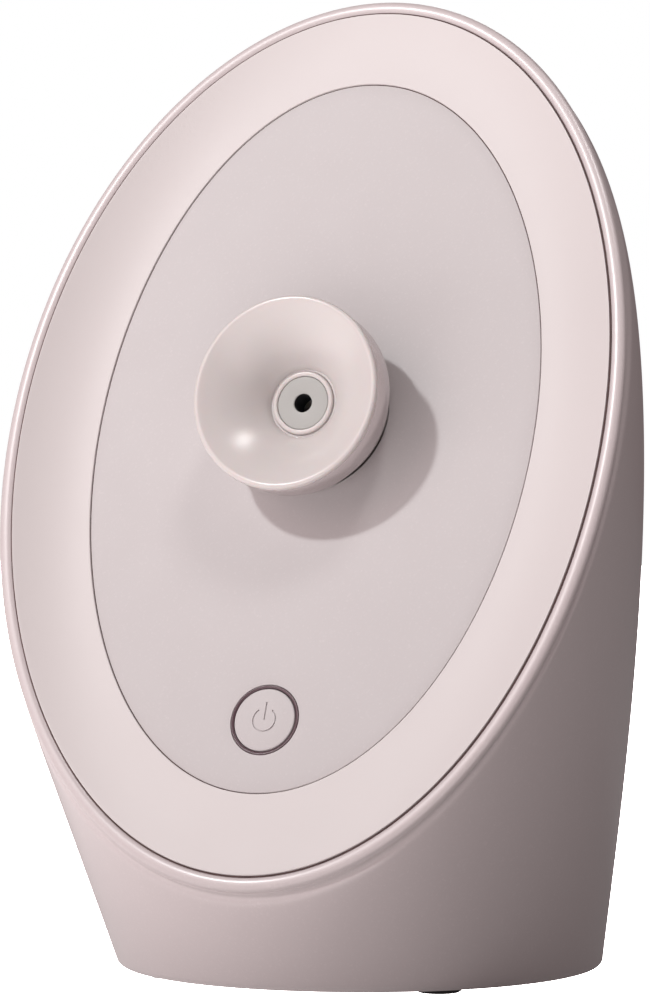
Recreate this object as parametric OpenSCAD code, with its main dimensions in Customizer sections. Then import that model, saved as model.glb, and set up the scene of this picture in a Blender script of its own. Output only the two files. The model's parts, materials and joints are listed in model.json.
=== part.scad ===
/* [Housing] */
// Radius of the round foot of the housing
base_r = 65.7; // [63:0.1:68]
// Height of the rubber feet below the housing
foot_h = 1.5; // [1:0.1:2]
// Lean of the face back from upright, in degrees
lean = 21.83; // [20:0.1:23]
// Height of the face's centre above the table
face_z = 146.5; // [144:0.1:149]
// Distance of the face's centre in front of the foot's centre
face_y = -32.34; // [-33:0.1:-31]
// Thickness of the housing's wall
wall_t = 2.6; // [2:0.1:3]
// Radius of the housing's bottom edge
edge_r = 1.8; // [1:0.1:4]

/* [Face] */
// Half width of the seam between the inner panel and the pale ring
panel_rx = 62.9; // [60:0.1:64]
// Half height of that seam, along the face
panel_ry = 101.46; // [99:0.1:103]
// Half width of the seam between the pale ring and the rim
ring_rx = 83.66; // [82:0.1:85]
// Half height of that seam, along the face
ring_ry = 123; // [121:0.1:125]
// Shift of the outer seam up the face
ring_shift = -0.56; // [-1:0.1:0]
// Mean height of the outer seam above the panel
seam_mean = 3.74; // [3:0.1:4]
// Part of that height that differs from top to bottom
seam_tip = 0.51; // [0:0.1:1]
// Part of that height that rises at both sides
seam_saddle = -2.32; // [-2.6:0.1:-2]
// Gap at each seam
seam_gap = 0.35; // [0.3:0.05:0.5]
// Width of the rim outside the seam
rim_w = 4.1; // [3.5:0.1:4.5]
// Depth of the rim's rounding
rim_drop = 1.4; // [1:0.1:2]
// Thickness of the panel and the ring
panel_t = 2.2; // [2:0.1:2.4]

/* [Nozzle] */
// Height of the nozzle's swivel axis above the face's centre
nozzle_y = 2.84; // [1:0.1:5]
// Depth of the nozzle's mounting behind the panel's front
nozzle_drop = 2.8; // [2.6:0.1:3]
// Downward tilt of the nozzle at rest, in degrees
head_tilt = 9.5; // [8:0.5:11]
// Radius of the ball that the nozzle is built round
ball_r = 24.2; // [24.1:0.1:24.4]
// Height of the ball's centre above the nozzle's mounting
ball_z = 15; // [14.8:0.1:15.2]
// Radius of the bell's lip
bell_r = 26.1; // [26:0.1:26.4]
// Height of the bell's lip above the nozzle's mounting
bell_z = 23.3; // [23.2:0.1:23.5]
// Radius of the steam hole
orifice_r = 2.5; // [2:0.1:2.6]
// Radius of the swivel stem
stem_r = 8; // [7.9:0.1:8.1]

/* [Button] */
// Height of the button on the face, from its centre
button_y = -81.6; // [-84:0.1:-79]
// Outer radius of the button's dark ring
button_r = 9.5; // [9:0.1:10]
// Travel of the button
button_travel = 0.6; // [0.4:0.1:0.6]

/* [Tank] */
// Half width of the tank's rear cover
tank_w = 43; // [40:0.5:43]
// Bottom of the tank's rear cover
tank_z0 = 98; // [97:0.5:100]
// Top of the tank's rear cover
tank_z1 = 196; // [190:0.5:196]
// Front of the tank
tank_y0 = 18; // [18:0.5:19]
// Height of the filling hole
fill_z = 178; // [176:0.5:180]

/* [Hidden] */
$fn = 64;
eps = 0.02;
// Running clearance in the radius of a shaft or pin
run_c = 0.05;
// The outward bulge of the side wall: its mean size, what the back adds, and what both ends add
bulge_mean = 7;
bulge_back = 9.2;
bulge_ends = 3.6;
// Powers that place the bulge's peak along the wall's height
bulge_low = 1.12;
bulge_high = 0.65;
bulge_where = bulge_low / (bulge_low + bulge_high);
bulge_peak = pow(bulge_where, bulge_low) * pow(1 - bulge_where, bulge_high);
sides = 60;
rows = 11;
inner_rows = 6;
// Share of the wall's height where the rim's inner shoulder ends
shoulder = 0.93;
// Width of the lip that the housing turns in under its wall
lip_w = 4.6;
// Height of the bottom plate's faces
plate_z0 = foot_h + 0.4;
plate_z1 = plate_z0 + 2.5;
plate_r = base_r - 5;
// Bracket behind the panel: its front face, back face and half sizes
bracket_front = -6;
bracket_back = -8;
bracket_rx = 74;
bracket_ry = 110;
// Radii of the panel's opening, the bracket's hole and the bearing's ring of standoffs
opening_r = sqrt(pow(ball_r, 2) - pow(ball_z - nozzle_drop, 2)) + 0.6;
bracket_hole_r = 18;
standoff_r = 22;
// Tank corners, walls and clearances
tank_corner = 12;
tank_gap = 0.4;
tank_skin = 2.4;
tank_wall = 1.8;
tank_in = 2.5;
cradle_wall = 1.6;
outlet_z = 109;
grip_z = 116;
grip_w = 22;
grip_h = 7;
grip_floor = back_y(grip_z) - 13;
// Face that the filling plug's flange seats on
fill_seat = back_y(fill_z) - 5;
// Boiler
boiler_y = -8;
boiler_r = 30;
boiler_z0 = 26;
boiler_z1 = 60;
boiler_flange = 40;
gasket_t = 1.2;
lid_z0 = boiler_z1 + gasket_t;
lid_z1 = lid_z0 + 3;
lid_screw_r = 36;
steam_top = 80;
feed_x = 18;
feed_top = 74;
// Power inlet
inlet_z = 24;
inlet_back = back_y(inlet_z) - 1.8;
inlet_front = inlet_back - 20;
pin_r = 1.2;
pin_x = 4.3;
// Power board
board_y = 36;
board_t = 1.6;
board_z0 = 40;
board_z1 = 92;
board_w = 29;
// Feet, from the middle of the bottom plate
foot_x = 38.5;
// Posts that stand on the bottom plate, one pair behind the other
post_x = 46;
post_back = 20;
post_front = -20;
// Control board behind the button
control_front = -12.4;
// Swivel: faces along the nozzle's axis, from the panel
hub_top = -2.6;
flange_top = -12;
flange_low = -14;
stem_end = -28;
bearing_end = -26;
clip_top = -26.4;
clip_low = -27.4;
cap_end = -33;
elbow_z = -29.6;

// ---- Shapes of the housing, as points ----

function seam_height(phi) = seam_mean + seam_tip * cos(phi) + seam_saddle * cos(2 * phi);

function on_face(x, y, z) = [
    x,
    face_y + y * sin(lean) - z * cos(lean),
    face_z + y * cos(lean) + z * sin(lean)
];

function rim_point(phi, w, drop) = on_face(
    (ring_rx + w) * sin(phi),
    (ring_ry + w) * cos(phi) + ring_shift,
    seam_height(phi) - drop
);

function foot_point(phi) = [base_r * sin(phi), base_r * cos(phi), foot_h];

function bulge_size(phi) = bulge_mean + bulge_back * cos(phi) + bulge_ends * cos(2 * phi);

function bulge(s) = pow(s, bulge_low) * pow(1 - s, bulge_high) / bulge_peak;

function wall_point(phi, s, inset) =
    foot_point(phi) * (1 - s) + rim_point(phi, rim_w, rim_drop) * s
    + [sin(phi), cos(phi), 0] * (bulge_size(phi) * bulge(s) - inset);

// How far back the wall's middle stands at some height
function back_y(z) = wall_point(0, (z - foot_h) / (rim_point(0, rim_w, rim_drop)[2] - foot_h), 0)[1];

// Share of the wall's height that the bottom edge's rounding takes
function edge_share(phi, a) =
    edge_r * (1 - cos(a)) / (rim_point(phi, rim_w, rim_drop)[2] - foot_h);

// Share for row t of n, with the rows closer together towards the rim
function row_share(low, t, n) = low + (1 - low) * (1 - pow(1 - t / n, 1.6));

function housing_profile(phi) = concat(
    [for (a = [0:30:90]) wall_point(phi, edge_share(phi, a), edge_r * (1 - sin(a)))],
    [for (t = [1:rows]) wall_point(phi, row_share(edge_share(phi, 90), t, rows), 0)],
    [rim_point(phi, 3.9, 0.8), rim_point(phi, 3.1, 0.18), rim_point(phi, 2, 0)],
    [rim_point(phi, 1, 0.14), rim_point(phi, seam_gap, 0.65), rim_point(phi, seam_gap, 3.2)],
    [rim_point(phi, -3, 3.2), rim_point(phi, -3, 5.2)],
    [for (t = [inner_rows:-1:1]) wall_point(phi, 0.03 + (shoulder - 0.03) * t / inner_rows, wall_t)],
    [wall_point(phi, 0, lip_w)]
);

function ring_profile(phi) = concat(
    [for (t = [0:0.2:1]) ring_point(phi, t, 0)],
    [for (t = [1:-0.5:0]) ring_point(phi, t, panel_t)]
);

// A point across the pale ring, from its inner edge at 0 to its outer edge at 1
function ring_point(phi, t, drop) = on_face(
    (panel_rx + seam_gap / 2 + t * (ring_rx - panel_rx - seam_gap)) * sin(phi),
    (panel_ry + seam_gap / 2 + t * (ring_ry - panel_ry - seam_gap)) * cos(phi) + ring_shift * t,
    0.3 + (seam_height(phi) - 0.2) * pow(t, 1.5) - drop
);

// Faces of a closed ring of n profiles with k points each
function ring_faces(n, k) = [
    for (i = [0:n - 1])
        for (j = [0:k - 1])
            let (a = i * k + j)
            let (b = i * k + (j + 1) % k)
            let (c = (i + 1) % n * k + (j + 1) % k)
            let (d = (i + 1) % n * k + j)
            each [[a, c, b], [a, d, c]]
];

function ellipse_points(rx, ry, n) = [for (i = [0:n - 1]) [rx * cos(i * 360 / n), ry * sin(i * 360 / n)]];

function round_box(w, h, r) = [
    for (q = [0:3])
        for (a = [0:15:90])
            [(q == 0 || q == 3 ? 1 : -1) * (w - r), (q < 2 ? 1 : -1) * (h - r)]
            + r * [cos(q * 90 + a), sin(q * 90 + a)]
];

// ---- Helpers ----

module on_panel() {
    translate([0, face_y, face_z])
        rotate([90 - lean, 0, 0])
            children();
}

module on_nozzle() {
    on_panel()
        translate([0, nozzle_y, -nozzle_drop])
            children();
}

// Turns about the ball's centre, by a share of the tilt at rest
module tilted(share = 1) {
    translate([0, 0, ball_z])
        rotate([head_tilt * share, 0, 0])
            translate([0, 0, -ball_z])
                children();
}

module on_head() {
    on_nozzle()
        tilted()
            children();
}

module tube(r_out, r_in, z0, z1) {
    translate([0, 0, z0])
        difference() {
            cylinder(r = r_out, h = z1 - z0);
            translate([0, 0, -1])
                cylinder(r = r_in, h = z1 - z0 + 2);
        }
}

module disc(r, z0, z1) {
    translate([0, 0, z0])
        cylinder(r = r, h = z1 - z0);
}

// A block from its low corner to its high corner
module block(low, high) {
    translate(low)
        cube(high - low);
}

// A rounded outline in X and Z, extruded along Y
module prism_y(points, y0, y1, z) {
    translate([0, y1, z])
        rotate([90, 0, 0])
            linear_extrude(y1 - y0)
                polygon(points);
}

module cylinder_y(r, y0, y1) {
    translate([0, y1, 0])
        rotate([90, 0, 0])
            cylinder(r = r, h = y1 - y0);
}

// A screw with its head's top at the origin, pointing down
module screw(head_r, head_h, shank_r, length) {
    difference() {
        disc(head_r, -head_h, 0);
        for (a = [0, 90])
            rotate([0, 0, a])
                translate([-head_r * 0.6, -0.4, -head_h * 0.5])
                    cube([head_r * 1.2, 0.8, head_h]);
    }
    disc(shank_r, -length, -head_h + eps);
}

// A round tube swept along a list of points, hollow where bore is over 0
module sweep(path, r, bore, n) {
    last = len(path) - 1;
    tangent = [for (i = [0:last]) unit(path[min(i + 1, last)] - path[max(i - 1, 0)])];
    side = [for (t = tangent) unit(cross(t, abs(t[0]) > 0.9 ? [0, 1, 0] : [1, 0, 0]))];
    outer = [for (i = [0:last]) each ring_at(path[i], side[i], cross(tangent[i], side[i]), r, n)];
    inner = [for (i = [0:last]) each ring_at(path[i], side[i], cross(tangent[i], side[i]), bore, n)];
    m = n * (last + 1);
    walls = [
        for (i = [0:last - 1])
            for (j = [0:n - 1])
                let (a = i * n + j)
                let (b = i * n + (j + 1) % n)
                each [
                    [a, b, b + n, a + n],
                    [m + a, m + a + n, m + b + n, m + b]
                ]
    ];
    ends = [
        for (j = [0:n - 1])
            let (k = (j + 1) % n)
            each [
                [j, m + j, m + k, k],
                [last * n + j, last * n + k, m + last * n + k, m + last * n + j]
            ]
    ];
    solid_walls = [
        for (i = [0:last - 1])
            for (j = [0:n - 1])
                let (a = i * n + j)
                let (b = i * n + (j + 1) % n)
                [a, b, b + n, a + n]
    ];
    solid_ends = [[for (j = [n - 1:-1:0]) j], [for (j = [0:n - 1]) last * n + j]];
    if (bore > 0)
        polyhedron(concat(outer, inner), concat(walls, ends));
    else
        polyhedron(outer, concat(solid_walls, solid_ends));
}

function unit(v) = v / norm(v);

function ring_at(p, u, v, r, n) = [for (j = [0:n - 1]) p + r * (u * cos(j * 360 / n) + v * sin(j * 360 / n))];

// Points of a smooth curve through a list of points, with some steps in each gap
function smooth(p, steps) = concat(
    [
        for (i = [0:len(p) - 2])
            for (k = [0:steps - 1])
                let (t = k / steps)
                let (a = p[max(i - 1, 0)])
                let (b = p[i])
                let (c = p[i + 1])
                let (d = p[min(i + 2, len(p) - 1)])
                0.5 * (2 * b + (c - a) * t + (2 * a - 5 * b + 4 * c - d) * t * t
                    + (3 * b - 3 * c + d - a) * t * t * t)
    ],
    [p[len(p) - 1]]
);

// The space between a flat front and the back of the housing's wall, set in by some distance
module wall_block(inset, front, across = 16, up = 8) {
    half_angle = 48;
    low = 0.22;
    high = 0.86;
    row = up + 1;
    back = [
        for (i = [0:across])
            for (j = [0:up])
                wall_point(-half_angle + 2 * half_angle * i / across, low + (high - low) * j / up, inset)
    ];
    edge = concat(
        [for (i = [0:across - 1]) i * row],
        [for (j = [0:up - 1]) across * row + j],
        [for (i = [across:-1:1]) i * row + up],
        [for (j = [up:-1:1]) j]
    );
    n = len(edge);
    first = len(back);
    flat = [for (k = edge) [back[k][0], front, back[k][2]]];
    quads = [
        for (i = [0:across - 1])
            for (j = [0:up - 1])
                let (a = i * row + j)
                each [[a, a + row + 1, a + 1], [a, a + row, a + row + 1]]
    ];
    walls = [
        for (k = [0:n - 1])
            let (m = (k + 1) % n)
            [edge[k], first + k, first + m, edge[m]]
    ];
    polyhedron(concat(back, flat), concat(quads, walls, [[for (k = [n - 1:-1:0]) first + k]]));
}

module tank_prism(grow, y0, y1) {
    mid = (tank_z0 + tank_z1) / 2;
    half = (tank_z1 - tank_z0) / 2;
    prism_y(round_box(tank_w + grow, half + grow, tank_corner + grow), y0, y1, mid);
}

// ---- Outside ----

module housing() {
    color([0.69, 0.63, 0.63])
        difference() {
            polyhedron(
                [for (i = [0:sides - 1]) each housing_profile(i * 360 / sides)],
                ring_faces(sides, len(housing_profile(0)))
            );
            tank_prism(tank_gap, 5, 80);
            prism_y(round_box(12.4, 7.4, 2.4), 40, 80, inlet_z);
        }
}

module front_ring() {
    color([0.88, 0.84, 0.83])
        polyhedron(
            [for (i = [0:sides - 1]) each ring_profile(i * 360 / sides)],
            ring_faces(sides, len(ring_profile(0)))
        );
}

module front_panel() {
    boss_r = 3.4;
    color([0.8, 0.76, 0.76])
        on_panel()
            difference() {
                union() {
                    translate([0, 0, -panel_t])
                        linear_extrude(panel_t)
                            polygon(ellipse_points(
                                panel_rx - seam_gap / 2, panel_ry - seam_gap / 2, 120
                            ));
                    for (x = [-40, 40])
                        for (y = [-52, 60])
                            translate([x, y, 0])
                                disc(boss_r, bracket_front, -panel_t + eps);
                }
                translate([0, nozzle_y, -10])
                    cylinder(r = opening_r, h = 20);
                translate([0, button_y, -10])
                    cylinder(r = button_r + 0.15, h = 20);
                for (x = [-40, 40])
                    for (y = [-52, 60])
                        translate([x, y, bracket_front - 1])
                            cylinder(r = 1.3, h = 5);
            }
}

module base_cover() {
    color([0.6, 0.55, 0.55])
        difference() {
            union() {
                disc(plate_r, plate_z0, plate_z1);
                block([-10, inlet_front + 3, plate_z1 - eps], [10, inlet_front + 10, inlet_z - 7.02]);
                for (x = [-22, 22])
                    block([x - 4, board_y - 3, plate_z1 - eps], [x + 4, board_y + 5, board_z0 + 6]);
            }
            for (x = [-22, 22])
                block([x - 5, board_y - 0.1, board_z0], [x + 5, board_y + board_t + 0.1, board_z0 + 10]);
            for (p = foot_points())
                translate([p[0], p[1], plate_z0 - 1])
                    cylinder(r = 6.1, h = 2.1);
            for (p = base_screw_points())
                translate([p[0], p[1], 0]) {
                    cylinder(r = 1.7, h = 10);
                    cylinder(r = 3.3, h = plate_z0 + 1.4);
                }
            for (s = [-1, 1])
                for (x = [11:5:21])
                    block([s * x - 1, -8, 0], [s * x + 1, 8, 10]);
        }
}

function base_screw_points() = [for (x = [-post_x, post_x]) for (y = [post_back, post_front]) [x, y]];

// Four feet near the edge, and a fifth in the middle under the boiler
function foot_points() = concat([[0, 0]], [for (x = [-foot_x, foot_x]) for (y = [-foot_x, foot_x]) [x, y]]);

module rubber_feet() {
    color([0.12, 0.11, 0.12])
        for (p = foot_points())
            translate([p[0], p[1], 0])
                rotate_extrude()
                    polygon([[0, 0], [5.2, 0], [5.8, 0.3], [6, 0.8], [6, plate_z0 + 1], [0, plate_z0 + 1]]);
}

module base_screws() {
    color("silver")
        for (p = base_screw_points())
            translate([p[0], p[1], plate_z0 - 0.2])
                mirror([0, 0, 1])
                    screw(3.1, 1.5, 1.4, 12);
}

// ---- Inside the face ----

module bracket_ellipse(rx, ry, z0, z1) {
    translate([0, 0, z0])
        linear_extrude(z1 - z0)
            polygon(ellipse_points(rx, ry, 96));
}

module inner_bracket() {
    color([0.85, 0.85, 0.83])
        difference() {
            union() {
                on_panel()
                    difference() {
                        union() {
                            bracket_ellipse(bracket_rx, bracket_ry, bracket_back, bracket_front);
                            for (a = [45:90:315])
                                translate([68 * cos(a), 104 * sin(a), 0])
                                    disc(3.6, bracket_back, -3);
                            for (x = [-18, 18])
                                for (y = [-68, -98])
                                    translate([x, y, 0])
                                        disc(2.6, control_front, bracket_back + eps);
                        }
                        translate([0, nozzle_y, 0])
                            disc(bracket_hole_r, -20, 0);
                        translate([0, button_y, 0])
                            disc(3, -20, 0);
                        for (x = [-40, 40])
                            for (y = [-52, 60])
                                translate([x, y, 0])
                                    disc(1.6, -20, 0);
                        for (a = [45:90:315])
                            translate([68 * cos(a), 104 * sin(a), 0])
                                disc(1.3, -20, 0);
                        for (a = [30:120:270])
                            translate([standoff_r * cos(a), nozzle_y + standoff_r * sin(a), 0])
                                disc(1.3, -20, 0);
                        for (y = [-34, 46])
                            block([-26, y - 9, -20], [26, y + 9, 0]);
                    }
                for (x = [-post_x, post_x])
                    intersection() {
                        translate([x, post_front, plate_z1 + 0.02])
                            cylinder(r = 4, h = 120);
                        on_panel()
                            block([-80, -140, -90], [80, 60, bracket_back + 0.5]);
                    }
            }
            for (x = [-post_x, post_x])
                translate([x, post_front, plate_z1 - 1])
                    cylinder(r = 1.45, h = 14);
        }
}

module bracket_screws() {
    color("silver")
        on_panel() {
            for (x = [-40, 40])
                for (y = [-52, 60])
                    translate([x, y, bracket_back - 1.6])
                        mirror([0, 0, 1])
                            screw(2.8, 1.6, 1.2, 6.5);
            for (a = [45:90:315])
                translate([68 * cos(a), 104 * sin(a), bracket_back - 1.6])
                    mirror([0, 0, 1])
                        screw(2.8, 1.6, 1.2, 6.2);
            for (a = [30:120:270])
                translate([standoff_r * cos(a), nozzle_y + standoff_r * sin(a), bracket_front + 1.4])
                    screw(2.4, 1.4, 1.2, 9);
        }
}

// ---- Nozzle ----

module nozzle_bell() {
    color([0.88, 0.83, 0.82])
        on_head()
            rotate_extrude($fn = 96)
                polygon([
                    [9.4, 9], [9.4, 10.6], [10, 11.7], [11.6, 13.8], [14, 16.4], [17, 18.9], [20, 20.9],
                    [22.6, 22.3], [24.1, 23], [24.9, bell_z], [25.6, 23.1], [bell_r, 22.4], [25.9, 21.7],
                    [25, 21.2], [22.3, 20.7], [21.6, 20.1], [18.6, 18.1], [15.6, 15.9], [12.8, 13], [11, 11.2],
                    [11, 9]
                ]);
}

module nozzle_shell() {
    shell_t = 1.6;
    belt_r = 25.6;
    color([0.78, 0.76, 0.77])
        on_head() {
            translate([0, 0, ball_z])
                rotate_extrude($fn = 96)
                    polygon(concat(
                        [for (a = [-52:4:-8]) ball_r * [cos(a), sin(a)]],
                        [[24.7, -3.1], [25.4, -2.5], [belt_r, -1.7], [belt_r, 1.2], [25.2, 3.2], [24.6, 5.1]],
                        [for (a = [12:-4:-52]) (ball_r - shell_t) * [cos(a), sin(a)]]
                    ));
            for (s = [-1, 1])
                translate([s * 23, 0, ball_z])
                    rotate([0, -s * 90, 0])
                        cylinder(r = 1.5, h = 4);
        }
}

module tip_ring() {
    color([0.88, 0.83, 0.82])
        on_head()
            rotate_extrude($fn = 64)
                polygon([
                    [7.25, 5], [7.25, 10.7], [7.5, 11], [7.9, 11.1], [8.3, 11], [8.6, 10.6], [8.6, 9.4],
                    [8.6, 6.6], [10.9, 6.6], [10.9, 8.9], [12, 8.9], [12, 5.4], [9, 5]
                ]);
}

module steam_tip() {
    color([0.76, 0.76, 0.75])
        on_head()
            rotate_extrude($fn = 64)
                polygon([
                    [orifice_r, 4], [orifice_r, 10.5], [orifice_r + 0.3, 10.8], [6.8, 10.8], [7.2, 10.4],
                    [7.2, 3], [6.2, 3], [6.2, 6], [4, 6], [4, 4]
                ]);
}

// An arm of the yoke follows the inside of the ball, from the hub up to its eye
module yoke_arm() {
    outer = 22.1;
    inner = 19.7;
    half_w = 2.6;
    difference() {
        union() {
            translate([0, half_w, ball_z])
                rotate([90, 0, 0])
                    linear_extrude(2 * half_w)
                        polygon(concat(
                            [for (a = [-60:5:0]) outer * [cos(a), sin(a)]],
                            [for (a = [0:-5:-60]) inner * [cos(a), sin(a)]]
                        ));
            translate([inner, 0, ball_z])
                rotate([0, 90, 0])
                    cylinder(r = 3, h = outer - inner - 0.3);
        }
        translate([15, 0, ball_z])
            rotate([0, 90, 0])
                cylinder(r = 1.5 + run_c, h = 10);
    }
}

module nozzle_yoke() {
    bore = 4.2;
    color([0.3, 0.3, 0.32])
        on_nozzle()
            difference() {
                union() {
                    yoke_arm();
                    mirror([1, 0, 0])
                        yoke_arm();
                    block([-11.4, -2.6, -5.2], [11.4, 2.6, -2.6]);
                    disc(6.4, flange_top - eps, hub_top);
                    disc(10.5, flange_low, flange_top);
                    disc(stem_r, stem_end, flange_low + eps);
                }
                disc(bore, stem_end - 1, 2);
                tube(stem_r + 2, 7.1, -20, -18.4);
                tube(stem_r + 2, 7.1, clip_low - 0.1, clip_top + 0.1);
            }
}

module stem_seal() {
    color([0.2, 0.12, 0.1])
        on_nozzle()
            tube(stem_r, 7.2, -19.9, -18.5);
}

module swivel_clip() {
    color("silver")
        on_nozzle()
            difference() {
                tube(9.6, 7.25, clip_low, clip_top);
                block([0, -5, clip_low - 1], [12, 5, clip_top + 1]);
            }
}

module nozzle_bearing() {
    color([0.9, 0.9, 0.88])
        on_nozzle()
            difference() {
                union() {
                    disc(11, bearing_end, flange_low - 0.2);
                    disc(25.4, -17.2, flange_low - 0.2);
                    for (a = [30:120:270])
                        rotate([0, 0, a])
                            translate([standoff_r, 0, 0])
                                disc(3, flange_low - 0.3, bracket_back + nozzle_drop);
                }
                disc(stem_r + run_c, -40, 0);
                for (a = [30:120:270])
                    rotate([0, 0, a])
                        translate([standoff_r, 0, 0])
                            disc(1.3, -14, 0);
            }
}

module bearing_cap() {
    color([0.82, 0.82, 0.8])
        on_nozzle()
            difference() {
                union() {
                    disc(12.8, cap_end, bearing_end + 6);
                    translate([0, -9, elbow_z])
                        rotate([90, 0, 0])
                            cylinder(r = 4.4, h = 15);
                }
                disc(11.1, bearing_end - eps, bearing_end + 7);
                disc(10.4, cap_end + 1.6, bearing_end + 1);
                translate([0, -8, elbow_z])
                    rotate([90, 0, 0])
                        cylinder(r = 2.8, h = 20);
            }
}

// The bellows that carries the steam across the tilt joint
module steam_sleeve() {
    folds = 5;
    color([0.75, 0.72, 0.7])
        on_nozzle() {
            tube(5.8, 4.4, hub_top + 0.1, hub_top + 1.2);
            for (k = [1:folds])
                tilted(k / (folds + 1))
                    translate([0, 0, hub_top + 0.7 + 0.75 * k])
                        rotate_extrude($fn = 48)
                            translate([5.1, 0])
                                circle(r = 0.8, $fn = 16);
            tilted()
                tube(5.7, 4.4, 1.6, 5.8);
        }
}

// ---- Button ----

module on_button() {
    on_panel()
        translate([0, button_y, 0])
            children();
}

module power_mark() {
    mark_r = 3.15;
    line_w = 0.4;
    bar_y = 0.3;
    bar_h = 4.2;
    rotate([0, 0, 125])
        rotate_extrude(angle = 290)
            translate([mark_r - line_w / 2, 0])
                square([line_w, 1]);
    translate([-line_w / 2, bar_y, 0])
        cube([line_w, bar_h, 1]);
}

module button_cap() {
    color([0.79, 0.75, 0.75])
        on_button()
            difference() {
                union() {
                    rotate_extrude($fn = 96)
                        polygon([
                            [0, -2.2], [8.3, -2.2], [8.3, -0.2], [8.1, 0.05], [7.7, 0.15], [0, 0.15]
                        ]);
                    disc(2, -8.2, -2.2 + eps);
                }
                translate([0, 0, -0.1])
                    power_mark();
            }
}

module button_bezel() {
    color([0.35, 0.27, 0.3])
        on_button()
            rotate_extrude($fn = 96)
                polygon([
                    [8.6, -4.4], [8.6, 0], [8.8, 0.25], [9.25, 0.25], [button_r, 0], [button_r, -2.3], [11.4, -2.3],
                    [11.4, -4.4]
                ]);
}

module button_spring() {
    color([0.85, 0.83, 0.8])
        on_button()
            rotate_extrude()
                polygon([[2.6, -2.25], [5, -2.25], [7.6, -5.2], [7.6, -5.95], [6.4, -5.95], [4.4, -3.2], [2.6, -3.2]]);
}

module tact_switch() {
    color([0.15, 0.15, 0.16])
        on_button() {
            block([-3, -3, control_front], [3, 3, -9.6]);
            disc(1.7, -9.7, -8.9);
        }
}

module control_board() {
    color([0.1, 0.35, 0.2])
        on_button()
            difference() {
                block([-24, -21, control_front - 1.6], [24, 19, control_front - eps]);
                for (x = [-18, 18])
                    for (y = [-16.4, 13.6])
                        translate([x, y, control_front - 3])
                            cylinder(r = 1.4, h = 5);
            }
}

// ---- Water tank ----

module grip_block(grow, y0) {
    block(
        [-grip_w - grow, y0, grip_z - grip_h - grow],
        [grip_w + grow, 70, grip_z + grip_h + grow]
    );
}

module tank_cover() {
    color([0.69, 0.63, 0.63])
        difference() {
            union() {
                difference() {
                    intersection() {
                        wall_block(0, 25);
                        tank_prism(0, 20, 80);
                    }
                    wall_block(tank_skin, 10);
                }
                intersection() {
                    wall_block(0, 25);
                    grip_block(1.6, grip_floor - 1.6);
                }
            }
            grip_block(0, grip_floor);
            translate([0, 0, fill_z])
                cylinder_y(12, 20, 80);
        }
}

module tank_body() {
    color([0.8, 0.84, 0.88, 0.5])
        difference() {
            union() {
                difference() {
                    intersection() {
                        wall_block(tank_skin + 0.3, tank_y0, 10, 5);
                        tank_prism(-tank_in, tank_y0, 80);
                    }
                    intersection() {
                        wall_block(tank_skin + 0.3 + tank_wall, tank_y0 + tank_wall, 10, 5);
                        tank_prism(-tank_in - tank_wall, tank_y0 + tank_wall, 80);
                    }
                }
                intersection() {
                    translate([0, 0, fill_z])
                        cylinder_y(13.4, fill_seat - 7, 80);
                    wall_block(tank_skin + 0.3, tank_y0, 10, 5);
                }
                intersection() {
                    grip_block(1.6 + 0.4 + tank_wall, grip_floor - 2 - tank_wall);
                    intersection() {
                        wall_block(tank_skin + 0.3, tank_y0, 10, 5);
                        tank_prism(-tank_in, tank_y0, 80);
                    }
                }
                translate([0, 0, outlet_z])
                    cylinder_y(8.6, tank_y0, tank_y0 + 7);
            }
            grip_block(1.6 + 0.4, grip_floor - 2);
            translate([0, 0, fill_z]) {
                cylinder_y(7.5, 25, 80);
                cylinder_y(11.8, fill_seat, 80);
            }
            translate([0, 0, outlet_z])
                cylinder_y(7, tank_y0 - 1, tank_y0 + 5);
            translate([0, 0, outlet_z])
                cylinder_y(5, tank_y0, tank_y0 + 8);
        }
}

module fill_plug() {
    color([0.55, 0.5, 0.5])
        translate([0, 0, fill_z])
            difference() {
                union() {
                    cylinder_y(7.4, fill_seat - 7, fill_seat + 0.1);
                    cylinder_y(11.2, fill_seat + 0.02, fill_seat + 2.2);
                    block([-5, fill_seat + 2, -1.6], [5, fill_seat + 6.4, 1.6]);
                }
                cylinder_y(5.4, fill_seat - 9, fill_seat - 1.4);
            }
}

module tank_valve_seal() {
    color([0.85, 0.8, 0.75])
        translate([0, 0, outlet_z])
            difference() {
                cylinder_y(6.95, tank_y0, tank_y0 + 4.9);
                cylinder_y(3.5 + run_c, tank_y0 - 1, tank_y0 + 8);
            }
}

module tank_cradle() {
    cradle_grow = -tank_in + 0.6;
    color([0.85, 0.85, 0.83])
        difference() {
            union() {
                intersection() {
                    difference() {
                        tank_prism(cradle_grow + cradle_wall, tank_y0 - 2.2, 80);
                        tank_prism(cradle_grow, tank_y0 - 0.6, 81);
                    }
                    wall_block(wall_t + 0.6, tank_y0 - 5, 10, 5);
                }
                for (x = [-post_x, post_x])
                    translate([x, post_back, plate_z1 + 0.02])
                        cylinder(r = 4, h = 150 - plate_z1);
            }
            tank_prism(cradle_grow, tank_y0 - 0.6, 81);
            translate([0, 0, outlet_z])
                cylinder_y(5.05, 10, 20);
            for (x = [-post_x, post_x])
                translate([x, post_back, plate_z1 - 1])
                    cylinder(r = 1.45, h = 14);
        }
}

module tank_spigot() {
    color([0.82, 0.82, 0.8])
        translate([0, 0, outlet_z])
            difference() {
                union() {
                    cylinder_y(3.5, 10, tank_y0 + 6);
                    cylinder_y(5, tank_y0 - 3, tank_y0 - 0.7);
                    cylinder_y(8, tank_y0 - 4.4, tank_y0 - 2.3);
                }
                cylinder_y(2, 9, tank_y0 + 7);
            }
}

// ---- Boiler ----

module at_boiler() {
    translate([0, boiler_y, 0])
        children();
}

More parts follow.
